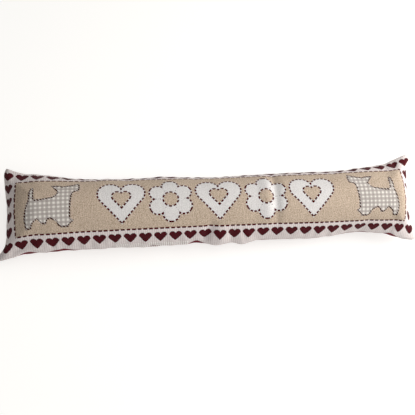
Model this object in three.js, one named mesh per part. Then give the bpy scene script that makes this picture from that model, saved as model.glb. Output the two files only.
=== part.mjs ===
// A draught excluder: a long filled cushion that lies along the foot of a door.
//
// Two flat rectangular panels are sewn together round their edges and filled. The filling bends
// each panel to an arc, which draws the long sides in between the corners, so that the four corners
// stand out as flat ears. The cushion lies on its back, with the back pressed flat on the floor.
//
// Millimetres. X runs along the length, Y towards the upper edge of the face's pattern, and Z up,
// out of the face. The origin is on the floor, under the middle of the cushion's box.

import * as THREE from 'three';

// The flat cover
const COVER_LENGTH = 900;
const COVER_WIDTH = 200;
const CORNER_RADIUS = 20;        // of the sewn corners

// The filling
const CROWN_ANGLE = 1.27;        // half the angle of the arc that a panel makes across, in radians
const LEFT_END = { roll: 86, fullness: 0.8 };     // how far from an end seam the full height is reached,
const RIGHT_END = { roll: 58, fullness: 0.66 };   // and under 1 the end rises steeply, as blunt ends do
const LEFT_HOLLOW = { reach: 62, share: 1.07 };   // how far an end seam's hollow reaches into the
const RIGHT_HOLLOW = { reach: 98, share: 0.92 };  // cover, and how deep it is next to a plain arc's
const END_HOLLOW = 1.3;          // how soon the hollow of an end seam opens out towards the corners
const LEFT_FLARE = { reach: 200, power: 0.67 };   // how far from an end the drawn-in sides open out
const RIGHT_FLARE = { reach: 102, power: 1.44 };  // again, and how suddenly
const SEAM_HEIGHT = 47;          // of the seams above the floor, at the middle of the length
const CROWN_LEAN = 0.03;         // sideways shift of the crown for each mm of height

// How the long body lies: t runs from -1 at the left end to 1 at the right end
const TWIST = 0.068;             // radians, turns the two ends opposite ways
const TIP = 0.22;                // radians, tips the upper corners of both ends up
const END_LIFT = 9;              // lift of both ends
const BOW = 3.5;                 // bow of the length towards Y
const BOW_SKEW = 2;              // the part of the bow that is uneven from end to end

// Tucks and bulges of the long seams: the edge (1 upper, -1 lower), where on the length,
// how wide, and how far out (+) or in (-)
const SEAM_TUCKS = [
  { edge: -1, at: -330, width: 46, out: 5 },
  { edge: -1, at: -250, width: 60, out: 6 },
  { edge: -1, at: -148, width: 50, out: 7 },
  { edge: -1, at: -64, width: 40, out: 4 },
  { edge: -1, at: -46, width: 10, out: -3 },
  { edge: -1, at: -4, width: 24, out: 9 },
  { edge: -1, at: 50, width: 24, out: 9 },
  { edge: -1, at: 124, width: 44, out: 2 },
  { edge: -1, at: 200, width: 46, out: 4 },
  { edge: -1, at: 305, width: 36, out: -6 },
  { edge: -1, at: 396, width: 24, out: 5 },
  { edge: 1, at: -438, width: 26, out: 5 },
  { edge: 1, at: -352, width: 44, out: 5 },
  { edge: 1, at: -110, width: 28, out: 4 },
  { edge: 1, at: 10, width: 42, out: -4 },
  { edge: 1, at: 262, width: 44, out: -2 },
  { edge: 1, at: 350, width: 30, out: 3 },
];

// Tucks of the end seams: the end (1 right, -1 left), where on the width, how wide, and how far out
const END_TUCK_FADE = 34;        // how far from an end seam the tucks fade out
const END_TUCKS = [
  { end: -1, at: -90, width: 20, out: 12 },
  { end: -1, at: 100, width: 20, out: 4 },
  { end: 1, at: 94, width: 16, out: 6 },
  { end: 1, at: -62, width: 34, out: 4.5 },
  { end: 1, at: -98, width: 14, out: 3 },
];

// Droop of the four ears: the end (1 right, -1 left), the edge (1 upper, -1 lower), how far the tip
// turns down, and how much further the cloth between the tip and the middle of the end does, in radians
const DROOP_LENGTH = 24;         // how far from an end seam the droop starts
const EAR_DROOPS = [
  { end: -1, edge: 1, tip: 2.0, between: 0 },
  { end: -1, edge: -1, tip: 0.1, between: 1.3 },
  { end: 1, edge: 1, tip: 0.6, between: 0 },
  { end: 1, edge: -1, tip: 0.1, between: 0 },
];

// Soft creases in the face: where they cross the length and the width at their middle, the
// direction that they run in (degrees from the length), half the length and the width, and how far
// they rise (+) or sink (-)
const CREASE_SEAM_FADE = 12;     // the creases fade out this near to a seam
const FACE_CREASES = [
  { along: -26, across: -78, run: 74, half: 30, width: 9, rise: -5 },
  { along: 4, across: -82, run: 80, half: 26, width: 16, rise: 3 },
  { along: 122, across: 6, run: 88, half: 62, width: 9, rise: -4 },
  { along: 102, across: 4, run: 88, half: 55, width: 11, rise: 2 },
  { along: 316, across: -74, run: 64, half: 34, width: 12, rise: -2 },
  { along: -398, across: 66, run: -38, half: 40, width: 11, rise: -2 },
  { along: -392, across: -72, run: 34, half: 42, width: 11, rise: -3 },
  { along: 392, across: 70, run: 36, half: 42, width: 11, rise: -1.5 },
  { along: 402, across: -66, run: -34, half: 36, width: 11, rise: -3 },
  { along: -436, across: 8, run: 84, half: 30, width: 10, rise: -3 },
  { along: 436, across: -14, run: 96, half: 30, width: 10, rise: -3 },
];

// The sampling of each panel
const BODY_STEPS = 58;
const END_STEPS = 18;            // within END_BAND of an end seam
const END_BAND = 88;
const ACROSS_STEPS = 18;
const EDGE_CROWDING = 0.85;      // 0 spaces the rows evenly, and 1 crowds them most at the seams
const NORMAL_STEP = 0.5;         // the short steps that give a surface's direction

const HALF_LENGTH = COVER_LENGTH / 2;
const HALF_WIDTH = COVER_WIDTH / 2;

const COVER_COLOUR = 0xbfae97;
const COVER_ROUGHNESS = 0.95;

// A strip of cloth bent to an arc over the filling: how high it has risen at a distance from its
// edge, and how much of that distance the bend has taken up.
function arcFromEdge(fromEdge, half) {
  const radius = half / CROWN_ANGLE;
  const travelled = THREE.MathUtils.clamp(fromEdge, 0, half);
  const slope = CROWN_ANGLE - travelled / radius;
  return {
    rise: radius * (Math.cos(slope) - Math.cos(CROWN_ANGLE)),
    takenUp: travelled - radius * (Math.sin(CROWN_ANGLE) - Math.sin(slope)),
  };
}

const FULL_ACROSS = arcFromEdge(HALF_WIDTH, HALF_WIDTH);

// A place on the flat rectangle, moved in where the corners of the panel are rounded off.
function roundCorner(along, across) {
  const pastLength = Math.max(0, Math.abs(along) - (HALF_LENGTH - CORNER_RADIUS)) / CORNER_RADIUS;
  const pastWidth = Math.max(0, Math.abs(across) - (HALF_WIDTH - CORNER_RADIUS)) / CORNER_RADIUS;
  const alongIn = CORNER_RADIUS * pastLength * (1 - Math.sqrt(1 - pastWidth ** 2 / 2));
  const acrossIn = CORNER_RADIUS * pastWidth * (1 - Math.sqrt(1 - pastLength ** 2 / 2));
  return {
    roundAlong: Math.abs(along) - alongIn,
    roundAcross: Math.abs(across) - acrossIn,
  };
}

// The share of the full draw-in of the long sides, from 0 at an end to 1 in the body.
function drawnIn(along) {
  const flare = along < 0 ? LEFT_FLARE : RIGHT_FLARE;
  const share = THREE.MathUtils.clamp((HALF_LENGTH - Math.abs(along)) / flare.reach, 0, 1);
  const start = Math.cos(CROWN_ANGLE);
  return ((Math.cos(CROWN_ANGLE * (1 - share)) - start) / (1 - start)) ** flare.power;
}

// How much shorter and lower the cover is where the tips of its ears bend down.
function droop(along, across, fullAcross) {
  const share = THREE.MathUtils.clamp(1 - (HALF_LENGTH - Math.abs(along)) / DROOP_LENGTH, 0, 1);
  let turn = 0;
  for (const ear of EAR_DROOPS) {
    if (ear.end * along > 0 && ear.edge * across > 0) {
      turn += (ear.tip + 4 * ear.between * fullAcross) * (1 - fullAcross) * share;
    }
  }
  const bent = DROOP_LENGTH * share;
  if (turn < 1e-6) {
    return { shortened: 0, fallen: 0 };
  }
  return {
    shortened: bent * (1 - Math.sin(turn) / turn),
    fallen: (bent * (1 - Math.cos(turn))) / turn,
  };
}

// A point of the filled cover before it is creased and laid down, from its place on the flat panel.
// The side is 1 on the face and -1 on the back.
function filledPoint(along, across, side) {
  const fromEnd = HALF_LENGTH - Math.abs(along);
  const { roll, fullness } = along < 0 ? LEFT_END : RIGHT_END;
  const hollow = along < 0 ? LEFT_HOLLOW : RIGHT_HOLLOW;
  const fromSide = arcFromEdge(HALF_WIDTH - Math.abs(across), HALF_WIDTH);
  const fullAlong = arcFromEdge(fromEnd, roll).rise / arcFromEdge(roll, roll).rise;
  const fullAcross = fromSide.rise / FULL_ACROSS.rise;
  const deepest = arcFromEdge(hollow.reach, hollow.reach).takenUp;
  const endBend = deepest - arcFromEdge(fromEnd, hollow.reach).takenUp;
  const endDraw = hollow.share * endBend * fullAcross ** END_HOLLOW - endTuck(along, across);
  const sideDraw = (FULL_ACROSS.takenUp - fromSide.takenUp) * drawnIn(along);
  const { shortened, fallen } = droop(along, across, fullAcross);
  const rise = FULL_ACROSS.rise * fullAlong ** fullness * fullAcross;
  const { roundAlong, roundAcross } = roundCorner(along, across);
  const x = Math.sign(along) * (roundAlong - endDraw - shortened);
  const y = Math.sign(across) * (roundAcross - sideDraw + seamTuck(along, across));
  return new THREE.Vector3(x, y + CROWN_LEAN * rise * side, side * rise - fallen);
}

// How far the tucks push the cloth out or in, fading from the long seams to the middle.
function seamTuck(along, across) {
  const nearSeam = (Math.abs(across) / HALF_WIDTH) ** 5;
  let out = 0;
  for (const tuck of SEAM_TUCKS) {
    if (tuck.edge * across > 0) {
      out += tuck.out * Math.exp(-(((along - tuck.at) / tuck.width) ** 2));
    }
  }
  return out * nearSeam;
}

// How far the tucks push an end seam out, fading into the cover.
function endTuck(along, across) {
  const share = THREE.MathUtils.clamp(1 - (HALF_LENGTH - Math.abs(along)) / END_TUCK_FADE, 0, 1);
  let out = 0;
  for (const tuck of END_TUCKS) {
    if (tuck.end * along > 0) {
      out += tuck.out * Math.exp(-(((across - tuck.at) / tuck.width) ** 2));
    }
  }
  return out * share ** 2;
}

// The height of the creases in the face at a place on the panel, fading out at the seams.
function creaseRise(along, across) {
  let rise = 0;
  for (const crease of FACE_CREASES) {
    const run = THREE.MathUtils.degToRad(crease.run);
    const dx = along - crease.along;
    const dy = across - crease.across;
    const lengthwise = dx * Math.cos(run) + dy * Math.sin(run);
    const sideways = dy * Math.cos(run) - dx * Math.sin(run);
    const nearLine = Math.exp(-((sideways / crease.width) ** 2));
    const nearMiddle = Math.exp(-((lengthwise / crease.half) ** 4));
    rise += crease.rise * nearLine * nearMiddle;
  }
  const fromSeam = Math.min(HALF_WIDTH - Math.abs(across), HALF_LENGTH - Math.abs(along));
  return rise * Math.min(1, fromSeam / CREASE_SEAM_FADE);
}

// The outward direction of the filled cover, from two short steps along and across it.
function outward(along, across, side) {
  const here = filledPoint(along, across, side);
  const inAlong = -Math.sign(along) * NORMAL_STEP || NORMAL_STEP;
  const inAcross = -Math.sign(across) * NORMAL_STEP || NORMAL_STEP;
  const alongStep = filledPoint(along + inAlong, across, side).sub(here);
  const acrossStep = filledPoint(along, across + inAcross, side).sub(here);
  return alongStep.cross(acrossStep).multiplyScalar(side * Math.sign(inAlong * inAcross)).normalize();
}

// The point where the cover comes to lie: creased, turned with the twist and tip of the long body,
// bowed, and pressed flat where it meets the floor.
function laidPoint(along, across, side) {
  const point = filledPoint(along, across, side);
  if (side > 0) {
    point.addScaledVector(outward(along, across, side), creaseRise(along, across));
  }
  const t = point.x / HALF_LENGTH;
  point.applyAxisAngle(new THREE.Vector3(1, 0, 0), TWIST * t + TIP * t ** 2);
  point.y += BOW * t ** 2 + BOW_SKEW * t ** 3;
  point.z += END_LIFT * t ** 2 + SEAM_HEIGHT;
  point.z = Math.max(point.z, 0);
  return point;
}

// Where the rows of points lie along the length: close together at the two ends.
function lengthwisePlaces() {
  const places = [];
  for (let i = 0; i < END_STEPS; i += 1) {
    places.push(-HALF_LENGTH + (END_BAND * i) / END_STEPS);
  }
  const body = COVER_LENGTH - 2 * END_BAND;
  for (let i = 0; i < BODY_STEPS; i += 1) {
    places.push(-body / 2 + (body * i) / BODY_STEPS);
  }
  for (let i = 0; i <= END_STEPS; i += 1) {
    places.push(HALF_LENGTH - END_BAND + (END_BAND * i) / END_STEPS);
  }
  return places;
}

// Where the points of a row lie across the width: close together at the seams.
function crosswisePlaces() {
  const reach = (EDGE_CROWDING * Math.PI) / 2;
  const places = [];
  for (let j = 0; j <= ACROSS_STEPS; j += 1) {
    const share = (2 * j) / ACROSS_STEPS - 1;
    places.push((HALF_WIDTH * Math.sin(reach * share)) / Math.sin(reach));
  }
  return places;
}

// One closed skin: a grid of points for the face and one for the back, with the seam's points shared.
function cushionGeometry() {
  const alongs = lengthwisePlaces();
  const acrosses = crosswisePlaces();
  const lastRow = alongs.length - 1;
  const lastColumn = acrosses.length - 1;
  const positions = [];
  const numberOf = { 1: new Map(), '-1': new Map() };

  const onSeam = (i, j) => i === 0 || j === 0 || i === lastRow || j === lastColumn;
  for (const side of [1, -1]) {
    for (let i = 0; i <= lastRow; i += 1) {
      for (let j = 0; j <= lastColumn; j += 1) {
        const key = `${i},${j}`;
        if (side < 0 && onSeam(i, j)) {
          numberOf[side].set(key, numberOf[1].get(key));
        } else {
          numberOf[side].set(key, positions.length / 3);
          positions.push(...laidPoint(alongs[i], acrosses[j], side).toArray());
        }
      }
    }
  }

  const triangles = [];
  for (const side of [1, -1]) {
    for (let i = 0; i < lastRow; i += 1) {
      for (let j = 0; j < lastColumn; j += 1) {
        const [a, b, c, d] = [[i, j], [i + 1, j], [i + 1, j + 1], [i, j + 1]].map(
          ([row, column]) => numberOf[side].get(`${row},${column}`),
        );
        // The diagonal of a corner square runs out of the corner, so that no triangle lies in the seam.
        const leftHalf = i < lastRow / 2;
        const lowerHalf = j < lastColumn / 2;
        const squares = leftHalf === lowerHalf ? [[a, b, c], [a, c, d]] : [[a, b, d], [b, c, d]];
        for (const [p, q, r] of squares) {
          triangles.push(...(side > 0 ? [p, q, r] : [p, r, q]));
        }
      }
    }
  }

  const geometry = new THREE.BufferGeometry();
  geometry.setAttribute('position', new THREE.Float32BufferAttribute(positions, 3));
  geometry.setIndex(triangles);
  geometry.computeVertexNormals();
  return geometry;
}

const cushion = new THREE.Mesh(
  cushionGeometry(),
  new THREE.MeshStandardMaterial({ color: COVER_COLOUR, roughness: COVER_ROUGHNESS, metalness: 0 }),
);
cushion.name = 'filled_cover';

// The bow and the uneven ears shift the box a little, so the cushion is centred over the origin.
const box = new THREE.Box3().setFromObject(cushion);
const middle = box.getCenter(new THREE.Vector3());
cushion.position.set(-middle.x, -middle.y, -box.min.z);

const draughtExcluder = new THREE.Group();
draughtExcluder.add(cushion);

export default draughtExcluder;
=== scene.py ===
# %% [markdown]
# # A draught excluder, cell by cell
# A draught excluder is a long, narrow cushion that lies along the foot of a door. This one has a
# face of woven tapestry and a back of plain dark red cloth. The cells below load the solid that the
# cushion has to fill, shape the filled cover, crease it, let it settle as cloth, and weave its
# pattern out of shader nodes.

# %% Load the frame
import math

import bpy
import numpy as np
from mathutils import Matrix, Vector, noise


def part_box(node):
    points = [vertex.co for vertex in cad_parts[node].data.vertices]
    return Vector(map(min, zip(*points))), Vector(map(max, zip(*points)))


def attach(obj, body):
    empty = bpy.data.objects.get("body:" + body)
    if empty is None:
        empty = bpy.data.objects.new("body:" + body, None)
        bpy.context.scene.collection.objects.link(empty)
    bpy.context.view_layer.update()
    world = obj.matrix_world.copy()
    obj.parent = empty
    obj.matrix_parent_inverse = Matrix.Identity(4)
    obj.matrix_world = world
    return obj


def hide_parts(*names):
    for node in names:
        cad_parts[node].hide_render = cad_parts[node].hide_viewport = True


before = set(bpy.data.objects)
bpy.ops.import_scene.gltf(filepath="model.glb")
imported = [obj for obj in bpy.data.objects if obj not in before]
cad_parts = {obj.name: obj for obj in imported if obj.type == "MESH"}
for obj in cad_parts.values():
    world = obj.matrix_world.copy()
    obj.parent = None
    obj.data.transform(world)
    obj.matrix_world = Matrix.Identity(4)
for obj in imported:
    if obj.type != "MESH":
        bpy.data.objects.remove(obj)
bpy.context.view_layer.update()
NODE = "filled_cover"

# %% [markdown]
# ## The flat cover
# A sewer starts from two flat rectangles, so the lesson does too. Every point of the cover is known
# by its place on the flat cloth: how far along it lies and how far across, in millimetres from the
# middle. The same two numbers later place the pattern, so the pattern bends with the cloth. A cushion
# could be shaped from a box instead, but then the pattern would have to be fitted on afterwards.

# %% Sizes of the flat cover
MM = 0.001
COVER_LENGTH = 900
COVER_WIDTH = 200
CORNER_RADIUS = 20
HALF_LENGTH = COVER_LENGTH / 2
HALF_WIDTH = COVER_WIDTH / 2
ALONG_STEPS = 200
ACROSS_STEPS = 44

alongs = np.linspace(-HALF_LENGTH, HALF_LENGTH, ALONG_STEPS + 1)
acrosses = np.linspace(-HALF_WIDTH, HALF_WIDTH, ACROSS_STEPS + 1)
ALONG, ACROSS = np.meshgrid(alongs, acrosses, indexing="ij")
print("cells of cloth:", COVER_LENGTH / ALONG_STEPS, "by", round(COVER_WIDTH / ACROSS_STEPS, 2), "mm")

# %% [markdown]
# ## Uneven seams and drooping ears
# A sewn cover is never even. Its seams wander in and out between the stitches, and the thin corners
# bend under their own weight. This could be sculpted by eye. Tables are used instead, one row for
# each tuck, because a row can be read, moved and made deeper without touching its neighbours.

# %% Tables of tucks and droops
# Tucks of the long seams: edge (1 upper, -1 lower), place along, width, and how far out
SEAM_TUCKS = (
    (-1, -330, 46, 5),
    (-1, -250, 60, 6),
    (-1, -148, 50, 7),
    (-1, -64, 40, 4),
    (-1, -46, 10, -3),
    (-1, -4, 24, 9),
    (-1, 50, 24, 9),
    (-1, 124, 44, 2),
    (-1, 200, 46, 4),
    (-1, 305, 36, -6),
    (-1, 396, 24, 5),
    (1, -438, 26, 5),
    (1, -352, 44, 5),
    (1, -110, 28, 4),
    (1, 10, 42, -4),
    (1, 262, 44, -2),
    (1, 350, 30, 3),
)

# A fine ripple between the stitches, and how soon tucks and ripple fade towards the middle
SEAM_RIPPLE = 0.45
RIPPLE_LENGTHS = (4.6, 7.9)
TUCK_FADE = 5

# Tucks of the end seams: end (1 right, -1 left), place across, width, and how far out
END_TUCKS = (
    (-1, -90, 20, 12),
    (-1, 100, 20, 4),
    (1, 94, 16, 6),
    (1, -62, 34, 4.5),
    (1, -98, 14, 3),
)
END_TUCK_FADE = 34

# Droop of the ears: end (1 right, -1 left), edge (1 upper, -1 lower), how far the tip turns down,
# and how much further the cloth between the tip and the middle of the end does
EAR_DROOPS = ((-1, 1, 2.0, 0), (-1, -1, 0.1, 1.3), (1, 1, 0.6, 0), (1, -1, 0.1, 0))
DROOP_LENGTH = 24

print(len(SEAM_TUCKS), "tucks in the long seams,", len(END_TUCKS), "in the end seams")

# %% Read the tables of tucks and droops
def seam_tuck(along, across):
    """How far the tucks push the cloth out, fading from the long seams to the middle."""
    out = 0
    for edge, at, width, depth in SEAM_TUCKS:
        out = out + (edge * across > 0) * depth * np.exp(-(((along - at) / width) ** 2))
    short, long = RIPPLE_LENGTHS
    ripple = np.sin(along / short + 2 * np.sign(across)) + np.sin(along / long - np.sign(across))
    return (out + SEAM_RIPPLE * ripple) * (abs(across) / HALF_WIDTH) ** TUCK_FADE


def end_tuck(along, across):
    """How far the tucks push an end seam out, fading into the cover."""
    out = 0
    for end, at, width, depth in END_TUCKS:
        out = out + (end * along > 0) * depth * np.exp(-(((across - at) / width) ** 2))
    return out * np.clip(1 - (HALF_LENGTH - abs(along)) / END_TUCK_FADE, 0, 1) ** 2


def drooped(along, across, full_across):
    """How much shorter and lower the cover is where the tips of its ears bend down."""
    # 4 x (1 - x) is 1 half way between the tip and the middle of the end
    turn = 0
    for end, edge, tip, between in EAR_DROOPS:
        turn = turn + (end * along > 0) * (edge * across > 0) * (tip + 4 * between * full_across)
    bent = DROOP_LENGTH * np.clip(1 - (HALF_LENGTH - abs(along)) / DROOP_LENGTH, 0, 1)
    turn = np.maximum(turn * (1 - full_across) * bent / DROOP_LENGTH, 1e-6)
    return bent * (1 - np.sin(turn) / turn), bent * (1 - np.cos(turn)) / turn


lower_tuck = seam_tuck(alongs, -HALF_WIDTH)
print("lower seam pushed out by up to", round(float(lower_tuck.max()), 1), "mm")

# %% [markdown]
# ## The filled form
# Filling bends each panel to an arc. An arc is shorter across than the flat cloth, so the long sides
# are drawn in, except at the corners, where there is little filling: these stand out as ears. The
# form could be sculpted, but a short formula keeps the cloth's true width, which is what makes the
# ears come out right. These are the sizes of the solid, so the cushion fills it.

# %% The arc of a filled strip
CROWN_ANGLE = 1.27


def arc_from_edge(from_edge, half):
    """How high a strip bent to an arc has risen, and how much length the bend has taken up."""
    radius = half / CROWN_ANGLE
    travelled = np.clip(from_edge, 0, half)
    slope = CROWN_ANGLE - travelled / radius
    rise = radius * (np.cos(slope) - math.cos(CROWN_ANGLE))
    taken_up = travelled - radius * (math.sin(CROWN_ANGLE) - np.sin(slope))
    return rise, taken_up


FULL_RISE, FULL_TAKEN = arc_from_edge(HALF_WIDTH, HALF_WIDTH)
print("crown", round(float(FULL_RISE), 1), "mm above the seams")
print("sides drawn in by", round(float(FULL_TAKEN), 1), "mm each")

# %% The filled form
# Of each end: how far the roll of the end reaches, how full it is, the reach and share of the hollow
# of its seam, and the reach and power of the ears' flare
LEFT_ROLL = 86
RIGHT_ROLL = 58
LEFT_FULLNESS = 0.8
RIGHT_FULLNESS = 0.66
END_HOLLOW = 1.3
LEFT_HOLLOW = (62, 1.07)
RIGHT_HOLLOW = (98, 0.92)
LEFT_FLARE = (200, 0.67)
RIGHT_FLARE = (102, 1.44)
CROWN_LEAN = 0.03


def drawn_in(along):
    """The share of the full draw-in of the long sides, from 0 at an end to 1 in the body."""
    reach = np.where(along < 0, LEFT_FLARE[0], RIGHT_FLARE[0])
    power = np.where(along < 0, LEFT_FLARE[1], RIGHT_FLARE[1])
    share = np.clip((HALF_LENGTH - abs(along)) / reach, 0, 1)
    curve = (np.cos(CROWN_ANGLE * (1 - share)) - math.cos(CROWN_ANGLE)) / (1 - math.cos(CROWN_ANGLE))
    return curve**power


def rounded(along, across):
    """Places on the flat rectangle, moved in where the sewn corners are rounded off."""
    past_length = np.maximum(0, abs(along) - (HALF_LENGTH - CORNER_RADIUS)) / CORNER_RADIUS
    past_width = np.maximum(0, abs(across) - (HALF_WIDTH - CORNER_RADIUS)) / CORNER_RADIUS
    along_in = CORNER_RADIUS * past_length * (1 - np.sqrt(1 - past_width**2 / 2))
    across_in = CORNER_RADIUS * past_width * (1 - np.sqrt(1 - past_length**2 / 2))
    return abs(along) - along_in, abs(across) - across_in


def filled(along, across, side):
    """Points of the filled cover, with side 1 on the face and -1 on the back."""
    from_end = HALF_LENGTH - abs(along)
    roll = np.where(along < 0, LEFT_ROLL, RIGHT_ROLL)
    full_along = arc_from_edge(from_end, roll)[0] / arc_from_edge(roll, roll)[0]
    side_rise, side_taken = arc_from_edge(HALF_WIDTH - abs(across), HALF_WIDTH)
    full_across = side_rise / FULL_RISE
    fullness = np.where(along < 0, LEFT_FULLNESS, RIGHT_FULLNESS)
    rise = FULL_RISE * full_along**fullness * full_across
    round_along, round_across = rounded(along, across)
    shortened, fallen = drooped(along, across, full_across)
    reach = np.where(along < 0, LEFT_HOLLOW[0], RIGHT_HOLLOW[0])
    share = np.where(along < 0, LEFT_HOLLOW[1], RIGHT_HOLLOW[1])
    hollow = arc_from_edge(reach, reach)[1] - arc_from_edge(from_end, reach)[1]
    hollow = share * hollow * full_across**END_HOLLOW - end_tuck(along, across)
    x = np.sign(along) * (round_along - hollow - shortened)
    y = np.sign(across) * (round_across - (FULL_TAKEN - side_taken) * drawn_in(along))
    y = y + np.sign(across) * seam_tuck(along, across)
    return np.stack([x, y + CROWN_LEAN * rise * side, side * rise - fallen], axis=-1)


print("middle of the face at", filled(0.0, 0.0, 1).round(1))

# %% [markdown]
# ## Creases and puckers
# A few soft creases cross the face where the cushion has been bent, wrinkles fan out of the corners,
# and the sewing thread puckers the cloth beside the seams. A bump in the material would show none of
# them in the outline, so each is a soft trough or ridge of the mesh, with its own place, width and
# depth. The large ones are listed one by one. The small puckers come from a loop with a fixed seed.

# %% Table of creases
# Creases of the face: place along and across, direction in degrees, half length, width, rise
FACE_CREASES = (
    (-26, -78, 74, 30, 9, -5),
    (4, -82, 80, 26, 16, 3),
    (122, 6, 88, 62, 9, -4),
    (102, 4, 88, 55, 11, 2),
    (316, -74, 64, 34, 12, -2),
    (-398, 66, -38, 40, 11, -2),
    (-392, -72, 34, 42, 11, -3),
    (392, 70, 36, 42, 11, -1.5),
    (402, -66, -34, 36, 11, -3),
    (-436, 8, 84, 30, 10, -3),
    (436, -14, 96, 30, 10, -3),
)
CREASE_SEAM_FADE = 12


def crease_rise(along, across, creases):
    """The height of a table of creases at each place on the cloth."""
    rise = 0
    for at_along, at_across, run, half, width, height in creases:
        turn = math.radians(run)
        dx = along - at_along
        dy = across - at_across
        lengthwise = dx * math.cos(turn) + dy * math.sin(turn)
        sideways = dy * math.cos(turn) - dx * math.sin(turn)
        rise = rise + height * np.exp(-((sideways / width) ** 2) - (lengthwise / half) ** 4)
    from_seam = np.minimum(HALF_WIDTH - abs(across), HALF_LENGTH - abs(along))
    return rise * np.minimum(1, from_seam / CREASE_SEAM_FADE)


print(len(FACE_CREASES), "creases placed by hand")

# %% Puckers beside the seams
PUCKER_GAP = (15, 36)
PUCKER_LENGTH = (9, 24)
PUCKER_DEPTH = (0.7, 2.2)
PUCKER_WIDTH = (3.5, 6.0)
PUCKER_LEAN = 18
PUCKER_INSET = 0.8
CORNER_MARGIN = 30
FACE_SEED = 7
BACK_SEED = 11


def seam_puckers(seed):
    """Rows of short troughs that run in from the long seams and the end seams."""
    draw = np.random.RandomState(seed)
    rows = []
    both_ways = ((True, HALF_LENGTH, HALF_WIDTH), (False, HALF_WIDTH, HALF_LENGTH))
    for edge_is_long, reach, far in both_ways:
        for edge in (-1, 1):
            place = -reach + CORNER_MARGIN
            while place < reach - CORNER_MARGIN:
                half = draw.uniform(*PUCKER_LENGTH)
                lean = draw.uniform(-PUCKER_LEAN, PUCKER_LEAN)
                shape = (half, draw.uniform(*PUCKER_WIDTH), -draw.uniform(*PUCKER_DEPTH))
                inset = edge * (far - half * PUCKER_INSET)
                spot = (place, inset, 90 + lean) if edge_is_long else (inset, place, lean)
                rows.append(spot + shape)
                place += draw.uniform(*PUCKER_GAP)
    return rows


FACE_PUCKERS = seam_puckers(FACE_SEED)
BACK_PUCKERS = seam_puckers(BACK_SEED)
print(len(FACE_PUCKERS), "puckers on the face,", len(BACK_PUCKERS), "on the back")

# %% Wrinkles that fan out of the corners
# Distance from the corner, turn of the fan in degrees, half length, width, rise
EAR_WRINKLES = ((62, 20, 24, 5, -1.6), (88, 44, 30, 7, 1.6), (58, 68, 22, 5, -1.5))


def ear_wrinkles():
    """Rows of wrinkles that fan out of the four corners."""
    rows = []
    for right in (-1, 1):
        for upper in (-1, 1):
            for reach, fan, half, width, height in EAR_WRINKLES:
                at_along = right * (HALF_LENGTH - reach * math.cos(math.radians(fan)))
                at_across = upper * (HALF_WIDTH - reach * math.sin(math.radians(fan)))
                rows.append((at_along, at_across, right * upper * fan, half, width, height))
    return rows


CORNER_WRINKLES = ear_wrinkles()
print(len(CORNER_WRINKLES), "corner wrinkles")

# %% [markdown]
# ## Laying the cushion down
# The long body twists and tips a little as it lies, and its weight presses the back flat on the
# floor. A full simulation from flat cloth would do this too, but it would end in another pose at
# every change, so the pose is set by a few numbers and only its fine creases are left to a
# simulation. The filling is never quite even, so a slow noise adds soft lumps.

# %% Soft lumps of the filling
LUMP_SIZE = (62, 48)
LUMP_RISE = 1.3
LUMP_LAYER = 3.0
LUMP_FADE = 30


def lumps(along, across, side):
    """Soft unevenness of the filling, gone at the seams."""
    long, wide = LUMP_SIZE
    layer = LUMP_LAYER * side
    wave = np.vectorize(lambda a, c: noise.noise(Vector((a / long, c / wide, layer))))
    from_seam = np.minimum(HALF_WIDTH - abs(across), HALF_LENGTH - abs(along))
    return LUMP_RISE * wave(along, across) * np.minimum(1, from_seam / LUMP_FADE)


print("lumps about", LUMP_SIZE[0], "mm long and up to", LUMP_RISE, "mm high")

# %% Roll the lower seam up in places
# Places where the lower seam rolls up, so that a sliver of the back shows: place, width, how far
SEAM_ROLLS = ((-391, 16, 8.0), (-325, 28, 7.0), (-138, 12, 4.0), (-49, 12, 7.5), (388, 16, 8.0))
ROLL_FADE = 28


def seam_roll(along):
    """How far the lower seam has rolled up onto the face."""
    return sum(up * np.exp(-(((along - at) / width) ** 2)) for at, width, up in SEAM_ROLLS)


FACE_ACROSS = ACROSS + seam_roll(ALONG) * np.maximum(0, 1 - (ACROSS + HALF_WIDTH) / ROLL_FADE)
print("the seam rolls up in", len(SEAM_ROLLS), "places")

# %% Lay the cover on the floor
SEAM_HEIGHT = 47
TWIST = 0.068
TIP = 0.22
END_LIFT = 9
BOW = 3.5
BOW_SKEW = 2
NORMAL_STEP = 0.5


def outward(along, across, side):
    """The direction that the cloth faces, from two short steps towards the middle."""
    here = filled(along, across, side)
    step_along = np.where(along > 0, -NORMAL_STEP, NORMAL_STEP)
    step_across = np.where(across > 0, -NORMAL_STEP, NORMAL_STEP)
    first = filled(along + step_along, across, side) - here
    second = filled(along, across + step_across, side) - here
    facing = np.cross(first, second) * (side * np.sign(step_along * step_across))[..., None]
    return facing / np.linalg.norm(facing, axis=-1, keepdims=True)


def laid(along, across, side):
    """Points of the creased cover as it lies on the floor, before it settles."""
    point = filled(along, across, side)
    rise = lumps(along, across, side)
    rise = rise + crease_rise(along, across, FACE_PUCKERS if side > 0 else BACK_PUCKERS)
    rise = rise + crease_rise(along, across, CORNER_WRINKLES)
    if side > 0:
        rise = rise + crease_rise(along, across, FACE_CREASES)
    point = point + outward(along, across, side) * rise[..., None]
    t = point[..., 0] / HALF_LENGTH
    turn = TWIST * t + TIP * t**2
    y = point[..., 1] * np.cos(turn) - point[..., 2] * np.sin(turn)
    z = point[..., 1] * np.sin(turn) + point[..., 2] * np.cos(turn)
    y = y + BOW * t**2 + BOW_SKEW * t**3
    z = z + END_LIFT * t**2 + SEAM_HEIGHT
    return np.stack([point[..., 0], y, np.maximum(z, 0)], axis=-1)


FACE = laid(ALONG, FACE_ACROSS, 1)
BACK = laid(ALONG, ACROSS, -1)
print("face reaches", round(FACE[..., 2].max(), 1), "mm above the floor")

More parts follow.
